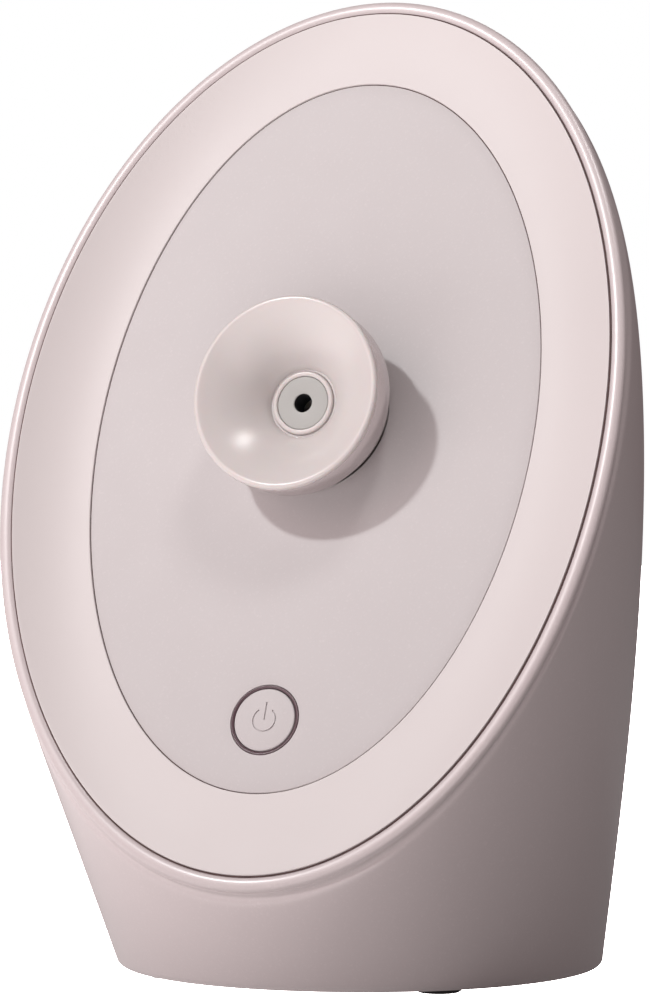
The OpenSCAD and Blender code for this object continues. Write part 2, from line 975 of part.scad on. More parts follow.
module feed_hose() {
    color([0.86, 0.84, 0.8])
        sweep(smooth([
            [0, 13, outlet_z], [0, 9.6, outlet_z], [0, 8, outlet_z], [7, 1, 107.5], [16, -5, 101],
            [feed_x + 1, boiler_y, 92],
            [feed_x, boiler_y, 82], [feed_x, boiler_y, lid_z1 + 3]
        ], 3), 5, 3.8, 12);
}

module boiler_body() {
    floor_t = 5;
    color([0.75, 0.76, 0.78])
        at_boiler()
            difference() {
                union() {
                    disc(boiler_r, boiler_z0, boiler_z1);
                    disc(boiler_flange, boiler_z1 - 3, boiler_z1);
                    for (a = [0:30:330])
                        rotate([0, 0, a])
                            block([boiler_r - 1, -1, boiler_z0 + 2], [boiler_r + 4, 1, boiler_z1 - 2]);
                }
                disc(boiler_r - 4, boiler_z0 + floor_t, boiler_z1 + 1);
                for (a = [45:90:315])
                    rotate([0, 0, a])
                        translate([lid_screw_r, 0, 0])
                            disc(1.6, boiler_z1 - 5, boiler_z1 + 1);
            }
}

module boiler_gasket() {
    color([0.7, 0.3, 0.2])
        at_boiler()
            tube(33.5, 26.2, boiler_z1, lid_z0);
}

module boiler_lid() {
    color([0.86, 0.84, 0.8])
        at_boiler()
            difference() {
                union() {
                    disc(boiler_flange, lid_z0, lid_z1);
                    disc(24, lid_z1 - eps, lid_z1 + 2);
                    disc(4.4, lid_z1, steam_top);
                    translate([feed_x, 0, 0])
                        disc(3.5, lid_z1, feed_top);
                }
                disc(24, lid_z0 - 1, lid_z0 + 2.5);
                disc(2.8, lid_z0 - 2, steam_top + 1);
                translate([feed_x, 0, 0])
                    disc(2, lid_z0 - 2, feed_top + 1);
                for (a = [45:90:315])
                    rotate([0, 0, a])
                        translate([lid_screw_r, 0, 0])
                            disc(1.6, lid_z0 - 1, lid_z1 + 1);
            }
}

module lid_screws() {
    color("silver")
        at_boiler()
            for (a = [45:90:315])
                rotate([0, 0, a])
                    translate([lid_screw_r, 0, lid_z1 + 1.8])
                        screw(3, 1.8, 1.5, 9);
}

module boiler_stand() {
    color([0.6, 0.61, 0.63])
        at_boiler() {
            tube(41, 30, plate_z1 + 0.02, plate_z1 + 2);
            for (a = [90:120:330])
                rotate([0, 0, a])
                    translate([37.3, 0, 0])
                        disc(2.6, plate_z1 + 1.9, boiler_z1 - 3.02);
        }
}

module heater_element() {
    tube_r = 3.4;
    color([0.5, 0.47, 0.45])
        at_boiler()
            translate([0, 0, boiler_z0 - tube_r - 0.1]) {
                rotate([0, 0, 120])
                    rotate_extrude(angle = 300)
                        translate([20, 0])
                            circle(r = tube_r);
                for (a = [60, 120])
                    translate([20 * cos(a), 20 * sin(a), -10])
                        cylinder(r = 2.2, h = 9);
            }
}

module thermostat() {
    color([0.2, 0.2, 0.2])
        at_boiler() {
            disc(8, boiler_z0 - 8, boiler_z0 - 0.1);
            for (x = [-4, 4])
                block([x - 1.5, -0.4, boiler_z0 - 15], [x + 1.5, 0.4, boiler_z0 - 7.9]);
        }
}

module thermal_fuse() {
    color([0.9, 0.88, 0.8])
        translate([-9, boiler_y - 36.8, 40])
            rotate([0, 90, 0])
                cylinder(r = 2.4, h = 18);
}

module steam_hose() {
    color([0.86, 0.84, 0.8])
        sweep(smooth([
            on_face(0, nozzle_y - 14, elbow_z - nozzle_drop),
            on_face(0, nozzle_y - 23, elbow_z - nozzle_drop),
            [0, -11, 106], [0, -9, 97], [0, boiler_y, 89], [0, boiler_y, lid_z1 + 5]
        ], 3), 6.2, 4.9, 12);
}

// ---- Electrics ----

module power_board() {
    color([0.1, 0.35, 0.2])
        difference() {
            block([-board_w, board_y, board_z0], [board_w, board_y + board_t, board_z1]);
            for (x = [-board_w + 4, board_w - 4])
                translate([x, 0, board_z1 - 4])
                    cylinder_y(1.6, board_y - 1, board_y + 3);
        }
}

module transformer() {
    color([0.75, 0.65, 0.3])
        difference() {
            block([-26, board_y + board_t, 66], [-6, board_y + 13, 86]);
            block([-22, board_y + board_t + 3, 64], [-10, board_y + 10, 70]);
        }
}

module capacitors() {
    color([0.15, 0.15, 0.2])
        for (p = [[6, 82, 5], [18, 82, 5], [18, 70, 4]])
            translate([p[0], 0, p[1]])
                cylinder_y(p[2], board_y + board_t, board_y + 13);
}

module relay() {
    color([0.2, 0.4, 0.7])
        block([-14, board_y + board_t, 44], [4, board_y + 14, 58]);
}

module power_inlet() {
    color([0.12, 0.12, 0.12])
        difference() {
            union() {
                prism_y(round_box(12, 7, 2), inlet_front, inlet_back, inlet_z);
                block([-16, inlet_back - 9, inlet_z - 6.5], [16, inlet_back - 7, inlet_z + 9]);
            }
            prism_y(round_box(8.6, 4.3, 4.2), inlet_back - 12, inlet_back + 1, inlet_z);
            for (x = [-pin_x, pin_x])
                translate([x, 0, inlet_z])
                    cylinder_y(pin_r + run_c, inlet_front - 1, inlet_back);
        }
}

module inlet_pins() {
    color("silver")
        for (x = [-pin_x, pin_x])
            translate([x, 0, inlet_z])
                cylinder_y(pin_r, inlet_front - 5, inlet_back - 2);
}

module wiring_harness() {
    wire_r = 1.1;
    color([0.5, 0.15, 0.15]) {
        for (x = [-pin_x, pin_x])
            sweep(smooth([
                [x, inlet_front - 5.8, inlet_z], [x, inlet_front - 7.4, inlet_z + 2], [x, 34.4, 34], [x, 34.4, 44]
            ], 3), wire_r, 0, 8);
        sweep(smooth([
            [27, board_y - 1.5, 84], [33, 22, 88], [34, 2, 92], [30, -20, 88], [22, -38, 82],
            on_face(16, button_y + 8, control_front - 3)
        ], 3), wire_r, 0, 8);
        for (x = [-9.6, 9.6])
            sweep(smooth([
                [x, boiler_y + 17.6, 10], [x * 1.6, 20, 9], [x * 1.5, 32, 14], [x * 1.3, 34.4, 44]
            ], 3), wire_r, 0, 8);
    }
}

housing();
front_ring();
front_panel();
base_cover();
rubber_feet();
base_screws();
inner_bracket();
bracket_screws();
nozzle_bell();
nozzle_shell();
tip_ring();
steam_tip();
nozzle_yoke();
stem_seal();
swivel_clip();
nozzle_bearing();
bearing_cap();
steam_sleeve();
button_cap();
button_bezel();
button_spring();
tact_switch();
control_board();
tank_cover();
tank_body();
fill_plug();
tank_valve_seal();
tank_cradle();
tank_spigot();
feed_hose();
boiler_body();
boiler_gasket();
boiler_lid();
lid_screws();
boiler_stand();
heater_element();
thermostat();
thermal_fuse();
steam_hose();
power_board();
transformer();
capacitors();
relay();
power_inlet();
inlet_pins();
wiring_harness();
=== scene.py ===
import json
import math

import bmesh
import bpy
from mathutils import Matrix, Vector


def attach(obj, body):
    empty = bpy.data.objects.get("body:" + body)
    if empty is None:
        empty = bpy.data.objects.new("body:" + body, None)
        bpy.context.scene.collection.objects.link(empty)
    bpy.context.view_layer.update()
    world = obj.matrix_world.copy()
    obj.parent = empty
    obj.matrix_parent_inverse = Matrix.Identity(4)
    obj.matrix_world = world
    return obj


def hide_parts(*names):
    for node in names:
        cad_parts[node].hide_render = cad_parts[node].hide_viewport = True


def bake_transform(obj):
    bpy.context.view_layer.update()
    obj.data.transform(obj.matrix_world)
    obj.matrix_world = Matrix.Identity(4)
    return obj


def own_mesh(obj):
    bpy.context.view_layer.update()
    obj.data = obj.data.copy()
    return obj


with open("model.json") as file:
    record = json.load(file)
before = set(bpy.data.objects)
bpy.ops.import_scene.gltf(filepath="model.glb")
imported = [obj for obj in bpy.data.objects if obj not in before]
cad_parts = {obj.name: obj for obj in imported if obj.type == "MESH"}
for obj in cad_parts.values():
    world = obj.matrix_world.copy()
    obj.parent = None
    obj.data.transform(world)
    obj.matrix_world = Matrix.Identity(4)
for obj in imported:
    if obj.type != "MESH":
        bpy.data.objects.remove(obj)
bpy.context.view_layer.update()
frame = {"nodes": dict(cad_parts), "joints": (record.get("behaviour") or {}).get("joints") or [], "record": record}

MM = 0.001
nodes = frame["nodes"]
joints = {j["name"]: j for j in frame["joints"]}

# ---- The face's own frame, in millimetres, from the nozzle's swivel ----

OUT = Vector(joints["nozzle_swivel"]["axis"])
RIGHT = Vector((1, 0, 0))
UP = OUT.cross(RIGHT)
SWIVEL = Vector(joints["nozzle_swivel"]["pos_m"]) / MM
NOZZLE_UP, NOZZLE_DROP = 2.84, 2.8  # from the panel's middle to the swivel's point
HEAD_TILT = math.radians(9.5)
BUTTON_UP = -81.6
FACE = SWIVEL - UP * NOZZLE_UP + OUT * NOZZLE_DROP

# ---- The housing's form, in millimetres, as the CAD has it ----

BASE_R, FOOT_H, EDGE_R = 65.7, 1.5, 1.8
WALL_T, SHOULDER = 2.6, 0.93
PANEL_RX, PANEL_RY = 62.9, 101.46
RING_RX, RING_RY = 83.66, 123.0
RING_SHIFT = -0.56
SEAM_MEAN, SEAM_TIP, SEAM_SADDLE = 3.74, 0.51, -2.32
SEAM_GAP = 0.26  # a little narrower than the CAD's
PANEL_T = 2.2
RIM_W, RIM_DROP = 4.1, 1.4
INSIDE = 0.09  # how far the visual shell keeps inside the CAD's faceted wall
BULGE_MEAN, BULGE_BACK, BULGE_ENDS = 7.0, 9.2, 3.6
BULGE_LOW, BULGE_HIGH = 1.12, 0.65
BALL_R, BALL_Z, BELT_R = 24.2, 15.0, 25.6
# Widths and heights from here on are half sizes.
TANK_W, TANK_Z0, TANK_Z1, TANK_CORNER = 43.0, 98.0, 196.0, 12.0
TANK_MIDDLE, TANK_HALF = (TANK_Z0 + TANK_Z1) / 2, (TANK_Z1 - TANK_Z0) / 2
TANK_GAP, TANK_SKIN = 0.4, 2.4
FILL_R, FILL_Z = 12.0, 178.0
GRIP_W, GRIP_H, GRIP_Z, GRIP_DEPTH = 22.0, 7.0, 116.0, 13.0
INLET_W, INLET_H, INLET_CORNER, INLET_Z = 12.4, 7.4, 2.4, 24.0
BUTTON_HOLE_R = 9.56

# ---- How finely the shapes are cut ----

FACE_TURNS = 288
WALL_ROWS, INNER_ROWS, FOOT_STEPS = 72, 10, 8


def turned(count):
    """That many angles, evenly round a turn."""
    return [2 * math.pi * k / count for k in range(count)]


def seam_height(phi):
    """How far the outer seam stands above the panel at that angle."""
    return SEAM_MEAN + SEAM_TIP * math.cos(phi) + SEAM_SADDLE * math.cos(2 * phi)


def on_face(x, y, z):
    """A point by its place across, up and out of the face."""
    return FACE + RIGHT * x + UP * y + OUT * z


def rim_point(phi, w, drop):
    """A point outside the outer seam by w, and below the seam by drop."""
    return on_face(
        (RING_RX + w) * math.sin(phi),
        (RING_RY + w) * math.cos(phi) + RING_SHIFT,
        seam_height(phi) - drop,
    )


def bulge(s):
    """The wall's swelling at a share s of its height, from 0 to 1."""
    where = BULGE_LOW / (BULGE_LOW + BULGE_HIGH)
    peak = where**BULGE_LOW * (1 - where) ** BULGE_HIGH
    return s**BULGE_LOW * max(1 - s, 0) ** BULGE_HIGH / peak


def wall_point(phi, s, inset):
    """A point of the wall at a share s of the way from the foot to the rim, moved inward by inset."""
    outward = Vector((math.sin(phi), math.cos(phi), 0))
    size = BULGE_MEAN + BULGE_BACK * math.cos(phi) + BULGE_ENDS * math.cos(2 * phi)
    foot = outward * BASE_R + Vector((0, 0, FOOT_H))
    return foot.lerp(rim_point(phi, RIM_W, RIM_DROP), s) + outward * (size * bulge(s) - inset)


def wall_height(phi):
    return rim_point(phi, RIM_W, RIM_DROP).z - FOOT_H


def share_at(phi, z):
    return (z - FOOT_H) / wall_height(phi)


def back_point(x, z, inset):
    """The point of the back wall at that x and z, found by halving the angle's range."""
    low, high = -math.pi / 2, math.pi / 2
    for _ in range(40):
        phi = (low + high) / 2
        if wall_point(phi, share_at(phi, z), inset).x < x:
            low = phi
        else:
            high = phi
    return wall_point(phi, share_at(phi, z), inset)


# ---- Materials ----


class Shader:
    """A principled material with helpers for procedural detail in object space, sized in metres."""

    def __init__(self, name, colour, roughness, **sockets):
        self.material = bpy.data.materials.new(name)
        self.material.use_nodes = True
        self.tree = self.material.node_tree
        self.bsdf = self.tree.nodes["Principled BSDF"]
        self.colour = colour
        self.bsdf.inputs["Base Color"].default_value = (*colour, 1)
        self.bsdf.inputs["Roughness"].default_value = roughness
        for socket, value in sockets.items():
            self.bsdf.inputs[socket.replace("_", " ")].default_value = value
        self.place = self.node("ShaderNodeTexCoord").outputs["Object"]

    def node(self, kind, **settings):
        made = self.tree.nodes.new(kind)
        for key, value in settings.items():
            setattr(made, key, value)
        return made

    def link(self, source, target):
        self.tree.links.new(source, target)

    def noise(self, size, detail=2.0, stretch=(1, 1, 1), roughness=0.5):
        """Noise whose blobs are about that many metres across."""
        mapping = self.node("ShaderNodeMapping")
        mapping.inputs["Scale"].default_value = stretch
        self.link(self.place, mapping.inputs["Vector"])
        texture = self.node("ShaderNodeTexNoise")
        texture.inputs["Scale"].default_value = 1 / size
        texture.inputs["Detail"].default_value = detail
        texture.inputs["Roughness"].default_value = roughness
        self.link(mapping.outputs["Vector"], texture.inputs["Vector"])
        return texture.outputs["Fac"]

    def cells(self, size):
        """Cells about that many metres across."""
        texture = self.node("ShaderNodeTexVoronoi")
        texture.inputs["Scale"].default_value = 1 / size
        self.link(self.place, texture.inputs["Vector"])
        return texture

    def spread(self, value, low, high, to_low, to_high):
        """Maps one range of the value to another, and holds it at the ends."""
        ramp = self.node("ShaderNodeMapRange")
        for socket, number in zip(
            ("From Min", "From Max", "To Min", "To Max"), (low, high, to_low, to_high)
        ):
            ramp.inputs[socket].default_value = number
        self.link(value, ramp.inputs["Value"])
        return ramp.outputs["Result"]

    def math(self, operation, a, b):
        made = self.node("ShaderNodeMath", operation=operation)
        for socket, value in zip(made.inputs, (a, b)):
            if isinstance(value, (int, float)):
                socket.default_value = value
            else:
                self.link(value, socket)
        return made.outputs[0]

    def tint(self, factor, colour):
        """Mixes another colour in by a factor, over what the base colour has so far."""
        mix = self.node("ShaderNodeMix", data_type="RGBA")
        self.link(factor, mix.inputs["Factor"])
        base = self.bsdf.inputs["Base Color"]
        if base.links:
            self.link(base.links[0].from_socket, mix.inputs["A"])
        else:
            mix.inputs["A"].default_value = (*self.colour, 1)
        mix.inputs["B"].default_value = (*colour, 1)
        self.link(mix.outputs["Result"], base)
        return self

    def rough(self, value):
        self.link(value, self.bsdf.inputs["Roughness"])
        return self

    def bump(self, height, depth):
        """Adds a height map, with its depth in metres, over the bumps so far."""
        made = self.node("ShaderNodeBump")
        made.inputs["Distance"].default_value = depth
        self.link(height, made.inputs["Height"])
        normal = self.bsdf.inputs["Normal"]
        if normal.links:
            self.link(normal.links[0].from_socket, made.inputs["Normal"])
        self.link(made.outputs["Normal"], normal)
        return self


def shade(colour, factor):
    """The colour made lighter or darker."""
    return tuple(min(c * factor, 1) for c in colour)


def moulded(name, colour, roughness, grain=0.00035, depth=0.000006, variation=0.05, **sockets):
    """Moulded plastic: a fine grain, faint flow marks in colour and gloss, and tiny specks."""
    s = Shader(name, colour, roughness, **sockets)
    flow = s.noise(0.045, 3, (1, 1, 0.45))
    s.tint(s.spread(flow, 0.3, 0.7, 0, 0.3), shade(colour, 1 - variation))
    fine = s.noise(grain, 2, roughness=0.6)
    s.tint(s.spread(fine, 0.5, 0.8, 0, 0.25), shade(colour, 1 + variation))
    cloud = s.noise(0.012, 3)
    s.rough(s.spread(cloud, 0.3, 0.7, roughness * 0.98, roughness * 1.02))
    s.bump(fine, depth)
    return s


def pearl(name, colour, roughness, **sockets):
    """Plastic with a fine mica fleck in it, which gives the satin surface its sparkle."""
    s = moulded(name, colour, roughness, **sockets)
    flecks = s.cells(0.00045)
    picked = s.spread(flecks.outputs["Color"], 0.72, 0.98, 0, 0.35)
    s.tint(picked, shade(colour, 1.16))
    return s


def metal(name, colour, roughness):
    """Metal with a fine grain that runs one way."""
    s = Shader(name, colour, roughness, Metallic=1.0)
    brushed = s.noise(0.0009, 4, (1, 1, 12))
    s.tint(s.spread(brushed, 0.35, 0.7, 0, 0.5), shade(colour, 0.82))
    s.rough(s.spread(s.noise(0.006, 3), 0.3, 0.7, roughness * 0.85, roughness * 1.2))
    s.bump(brushed, 0.000008)
    return s


def rubber(name, colour, roughness):
    """Matt rubber with a dusty bloom."""
    s = Shader(name, colour, roughness)
    s.tint(s.spread(s.noise(0.004, 4), 0.4, 0.7, 0, 0.6), shade(colour, 1.5))
    s.bump(s.noise(0.0005, 3), 0.00002)
    return s


PANEL_COLOUR = (0.485, 0.45, 0.453)
SHADERS = {
    "housing": pearl("housing", (0.55, 0.487, 0.49), 0.4, variation=0.03, Coat_Weight=0.35, Coat_Roughness=0.22),
    "face_ring": moulded("face_ring", (0.595, 0.55, 0.547), 0.5, variation=0.015),
    "face_panel": pearl("face_panel", PANEL_COLOUR, 0.5, variation=0.015),
    "bell": moulded("bell", (0.58, 0.54, 0.53), 0.33, variation=0.02, Coat_Weight=0.4, Coat_Roughness=0.22,
                    Subsurface_Weight=0.1, Subsurface_Scale=0.004),
    "ball": moulded("ball", (0.66, 0.61, 0.61), 0.24, variation=0.02, Metallic=0.8, Coat_Weight=0.3,
                    Coat_Roughness=0.12),
    "tip": moulded("tip", (0.40, 0.40, 0.385), 0.5, grain=0.0005),
    "button": pearl("button", PANEL_COLOUR, 0.5, variation=0.015),
    "button_ring": moulded("button_ring", (0.085, 0.045, 0.055), 0.36, Coat_Weight=0.3, Coat_Roughness=0.3),
    "base": moulded("base", (0.30, 0.26, 0.26), 0.55, grain=0.0006, depth=0.00003),
    "rubber": rubber("rubber", (0.025, 0.024, 0.025), 0.7),
    "steel": metal("steel", (0.60, 0.60, 0.61), 0.3),
    "inner_plastic": moulded("inner_plastic", (0.62, 0.62, 0.60), 0.45, grain=0.0006),
    "dark_plastic": moulded("dark_plastic", (0.03, 0.03, 0.033), 0.4, grain=0.0004, variation=0.2),
    "silicone": moulded("silicone", (0.55, 0.51, 0.48), 0.4, Subsurface_Weight=0.2, Subsurface_Scale=0.003),
    "seal": rubber("seal", (0.20, 0.05, 0.035), 0.5),
    "tank": moulded("tank", (0.70, 0.78, 0.82), 0.12, variation=0.02, depth=0.000002,
                    Transmission_Weight=0.9, IOR=1.49),
    "aluminium": metal("aluminium", (0.58, 0.59, 0.60), 0.42),
    "board": moulded("board", (0.015, 0.11, 0.055), 0.3, Coat_Weight=0.4),
    "copper": metal("copper", (0.55, 0.33, 0.14), 0.35),
    "wire": rubber("wire", (0.30, 0.04, 0.04), 0.45),
    # Painted shade: near-black for the strips in the seam gaps, standing in for the shadow deep in them.
    "seam": rubber("seam", (0.075, 0.036, 0.034), 0.7),
    "ceramic": moulded("ceramic", (0.70, 0.68, 0.62), 0.6, grain=0.0008),
    "relay": moulded("relay", (0.04, 0.10, 0.34), 0.3),
}
material = {name: s.material for name, s in SHADERS.items()}
slot_of = {row["node"]: row["material_slot"] for row in frame["record"]["subparts"]}

for row in frame["record"]["subparts"]:
    data = nodes[row["node"]].data
    data.materials.clear()
    data.materials.append(material[row["material_slot"]])


# ---- Mesh helpers ----

SHARP, SHELL_SHARP = 40, 35  # edges bent by more than this many degrees stay sharp


def link_object(name, data):
    made = bpy.data.objects.new(name, data)
    bpy.context.scene.collection.objects.link(made)
    return made


def mesh_object(name, points, faces):
    """An object from points in millimetres."""
    mesh = bpy.data.meshes.new(name)
    mesh.from_pydata([Vector(p) * MM for p in points], [], faces)
    mesh.validate()
    return link_object(name, mesh)


def new_piece(name, points, faces, body, slot, replaces=(), sharp=SHARP, look=None):
    """A piece from points in millimetres. Its look is its slot's unless another is named."""
    piece = mesh_object(name, points, faces)
    finish_piece(piece, body, slot, replaces, sharp, look)
    return piece


def finish_piece(piece, body, slot, replaces, sharp=SHARP, look=None):
    """Sets the piece's normals and material, the body it rides on, if any, and hides the CAD nodes it stands for."""
    tidy_normals(piece, sharp)
    piece.data.materials.append(material[look or slot])
    if body:
        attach(piece, body)
    if replaces:
        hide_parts(*replaces)


def tidy_normals(piece, sharp):
    """Merges doubled points, turns every face outward and marks the sharp edges."""
    mesh = piece.data
    bm = bmesh.new()
    bm.from_mesh(mesh)
    bmesh.ops.remove_doubles(bm, verts=bm.verts, dist=1e-7)
    bmesh.ops.recalc_face_normals(bm, faces=bm.faces)
    limit = math.radians(sharp)
    for edge in bm.edges:
        edge.smooth = len(edge.link_faces) == 2 and edge.calc_face_angle() < limit
    for face in bm.faces:
        face.smooth = True
    bm.to_mesh(mesh)
    bm.free()


def grid_faces(count, size, wrap_count=True, wrap_size=True):
    """Quads of a grid of count profiles with size points each."""
    faces = []
    for i in range(count if wrap_count else count - 1):
        for j in range(size if wrap_size else size - 1):
            a, b = i * size + j, i * size + (j + 1) % size
            c, d = (i + 1) % count * size + (j + 1) % size, (i + 1) % count * size + j
            faces.append((a, b, c, d))
    return faces


def loft_faces(size, levels=2):
    """Faces of a solid through stacked loops of size points each, with a cap on the first loop and the last."""
    faces = [tuple(reversed(range(size))), tuple(range((levels - 1) * size, levels * size))]
    for start in range(0, (levels - 1) * size, size):
        faces += [(start + i, start + (i + 1) % size, start + size + (i + 1) % size, start + size + i)
                  for i in range(size)]
    return faces


def rounded(outline, radii, steps, closed=True):
    """A 2D outline with its corners turned into arcs of the radii given, one for each point."""
    result = []
    n = len(outline)
    for i in range(n):
        p, r = Vector(outline[i]), radii[i]
        if r <= 0 or (not closed and i in (0, n - 1)):
            result.append(p)
            continue
        before, after = Vector(outline[i - 1]) - p, Vector(outline[(i + 1) % n]) - p
        a, b = before.normalized(), after.normalized()
        half = a.angle(b) / 2
        reach = min(r / math.tan(half), 0.49 * before.length, 0.49 * after.length)
        r = reach * math.tan(half)
        centre = p + (a + b).normalized() * (r / math.sin(half))
        start, end = p + a * reach - centre, p + b * reach - centre
        turn = start.angle_signed(end)
        for k in range(steps + 1):
            result.append(centre + Matrix.Rotation(-turn * k / steps, 2) @ start)
    return result


def smooth(points, steps=5):
    """A smooth open curve through 2D points, by Catmull and Rom's formula."""
    result = []
    last = len(points) - 1
    for i in range(last):
        a, b, c, d = (Vector(points[min(max(k, 0), last)]) for k in (i - 1, i, i + 1, i + 2))
        for k in range(steps):
            t = k / steps
            result.append(0.5 * (2 * b + (c - a) * t + (2 * a - 5 * b + 4 * c - d) * t**2
                                 + (3 * b - 3 * c + d - a) * t**3))
    return result + [Vector(points[-1])]


def sweep(name, section, place, body, slot, replaces=(), turns=FACE_TURNS, look=None):
    """A closed section carried round a turn. place maps the angle and a section's point to a point in space."""
    points = [place(phi, *p) for phi in turned(turns) for p in section]
    return new_piece(name, points, grid_faces(turns, len(section)), body, slot, replaces, look=look)


def lathe(name, outline, place, body, slot, replaces=(), turns=160):
    """A closed outline of (radius, height) turned about an axis. place maps x, y, height to a point."""
    def round_place(phi, radius, height):
        return place(radius * math.cos(phi), radius * math.sin(phi), height)

    return sweep(name, outline, round_place, body, slot, replaces, turns)


def on_head(x, y, z, share=1.0):
    """A point of the nozzle's head, which is tilted down about the ball's centre at rest."""
    tilt = HEAD_TILT * share
    z -= BALL_Z
    y, z = y * math.cos(tilt) - z * math.sin(tilt), y * math.sin(tilt) + z * math.cos(tilt)
    return on_face(x, y + NOZZLE_UP, z + BALL_Z - NOZZLE_DROP)


def on_button(x, y, z):
    """A point by its place across, up and out of the face, from the button's middle."""
    return on_face(x, y + BUTTON_UP, z)


def round_box(w, h, r, steps=10):
    """A rectangle of half sizes w and h, with corners of radius r."""
    points = []
    for q in range(4):
        cx = (w - r) if q in (0, 3) else (r - w)
        cz = (h - r) if q < 2 else (r - h)
        for k in range(steps + 1):
            a = math.pi / 2 * (q + k / steps)
            points.append((cx + r * math.cos(a), cz + r * math.sin(a)))
    return points


def prism_y(name, outline, z, start=5, end=80):
    """A closed prism along Y, for cutting the back wall, around an outline centred at height z."""
    points = [(p[0], y, z + p[1]) for y in (end, start) for p in outline]
    return mesh_object(name, points, loft_faces(len(outline)))


def cut(piece, cutters, sharp=SHARP, operation="DIFFERENCE"):
    """Takes the cutters out of the piece for good, or keeps only what they share, and removes them."""
    for cutter in cutters:
        modifier = piece.modifiers.new("cut", "BOOLEAN")
        modifier.operation = operation
        modifier.solver = "EXACT"
        modifier.object = cutter
    bpy.context.view_layer.update()
    evaluated = piece.evaluated_get(bpy.context.evaluated_depsgraph_get())
    mesh = bpy.data.meshes.new_from_object(evaluated)
    piece.modifiers.clear()
    piece.data = mesh
    for cutter in cutters:
        bpy.data.objects.remove(cutter)
    tidy_normals(piece, sharp)


# ---- Housing ----


def edge_share(phi, a):
    """The wall's share at an angle a round its rounded bottom edge."""
    return EDGE_R * (1 - math.cos(a)) / wall_height(phi)


def under_rim(phi, s):
    """The shallow groove that sets the rounded rim off from the side wall, in millimetres."""
    depth, middle, spread, fade = 0.75, 1.3, 1.5, 0.8
    below = (1 - s) * wall_height(phi)
    return depth * math.exp(-(((below - middle) / spread) ** 2)) * min(below / fade, 1)


def housing_profile(phi):
    """The shell's closed section at that angle: up the outside, over the rim and down the inside."""
    profile = []
    for k in range(FOOT_STEPS + 1):
        a = math.pi / 2 * k / FOOT_STEPS
        profile.append(wall_point(phi, edge_share(phi, a), INSIDE + EDGE_R * (1 - math.sin(a))))
    low = edge_share(phi, math.pi / 2)
    for t in range(1, WALL_ROWS + 1):
        s = low + (1 - low) * (1 - (1 - t / WALL_ROWS) ** 1.8)  # rows crowd together toward the rim
        profile.append(wall_point(phi, s, INSIDE + under_rim(phi, s)))
    edge = RIM_W - INSIDE
    ledge, ledge_top, ledge_bottom = -3, 3.2, 5.2
    bead = smooth([(edge, RIM_DROP), (edge - 0.12, 0.96), (edge - 0.5, 0.48), (edge - 1.2, 0.14), (2.0, 0.04),
                   (1.2, 0.12), (0.62, 0.34), (SEAM_GAP + 0.02, 0.62), (SEAM_GAP, 0.9), (SEAM_GAP, ledge_top)], 4)
    profile += [rim_point(phi, *p) for p in bead[1:]]
    profile += [rim_point(phi, ledge, ledge_top), rim_point(phi, ledge, ledge_bottom)]
    lowest, foot_inset = 0.03, EDGE_R + 1.1
    for t in range(INNER_ROWS, 0, -1):
        profile.append(wall_point(phi, lowest + (SHOULDER - lowest) * t / INNER_ROWS, WALL_T))
    profile.append(wall_point(phi, 0, foot_inset))
    return profile


def build_housing():
    profiles = [housing_profile(phi) for phi in turned(FACE_TURNS)]
    points = [p for profile in profiles for p in profile]
    faces = grid_faces(FACE_TURNS, len(profiles[0]))
    shell = new_piece("housing_shell", points, faces, "root", "housing", ("housing",), SHELL_SHARP)
    tank_hole = round_box(TANK_W + TANK_GAP, TANK_HALF + TANK_GAP, TANK_CORNER + TANK_GAP)
    inlet_hole = round_box(INLET_W, INLET_H, INLET_CORNER)
    cut(shell, [
        prism_y("tank_cut", tank_hole, TANK_MIDDLE),
        prism_y("inlet_cut", inlet_hole, INLET_Z, start=40),
    ], SHELL_SHARP)


# ---- Tank's rear cover ----


def back_sheet(columns, lines, spread, over):
    """A sheet as thick as the tank's skin, which follows the back wall past the cover's outline."""
    points = []
    for inset in (0, TANK_SKIN):
        for i in range(columns):
            phi = spread * (2 * i / (columns - 1) - 1)
            for j in range(lines):
                z = TANK_Z0 - over + (TANK_Z1 - TANK_Z0 + 2 * over) * j / (lines - 1)
                points.append(wall_point(phi, share_at(phi, z), inset))
    sheet = columns * lines
    flat = grid_faces(columns, lines, False, False)
    faces = flat + [tuple(sheet + k for k in reversed(face)) for face in flat]
    edge = [i * lines for i in range(columns)] + [(columns - 1) * lines + j for j in range(1, lines)]
    edge += [i * lines + lines - 1 for i in range(columns - 2, -1, -1)] + list(range(lines - 2, 0, -1))
    faces += [(a, sheet + a, sheet + b, b) for a, b in zip(edge, edge[1:] + edge[:1])]
    return points, faces


def build_cover():
    """The tank's cover carries the wall's form on, with a pocket for the fingers and a hole for the plug."""
    points, faces = back_sheet(columns=73, lines=49, spread=math.radians(58), over=2)
    cover = new_piece("tank_lid", points, faces, "tank", "housing", ("tank_cover",), SHELL_SHARP)
    cut(cover, [prism_y("lid_shape", round_box(TANK_W, TANK_HALF, TANK_CORNER), TANK_MIDDLE)],
        SHELL_SHARP, "INTERSECT")
    circle = [(FILL_R * math.cos(a), FILL_R * math.sin(a)) for a in turned(96)]
    grip = round_box(GRIP_W, GRIP_H, 3)
    cut(cover, [prism_y("fill_cut", circle, FILL_Z), prism_y("grip_cut", grip, GRIP_Z)], SHELL_SHARP)
    build_pocket(grip)


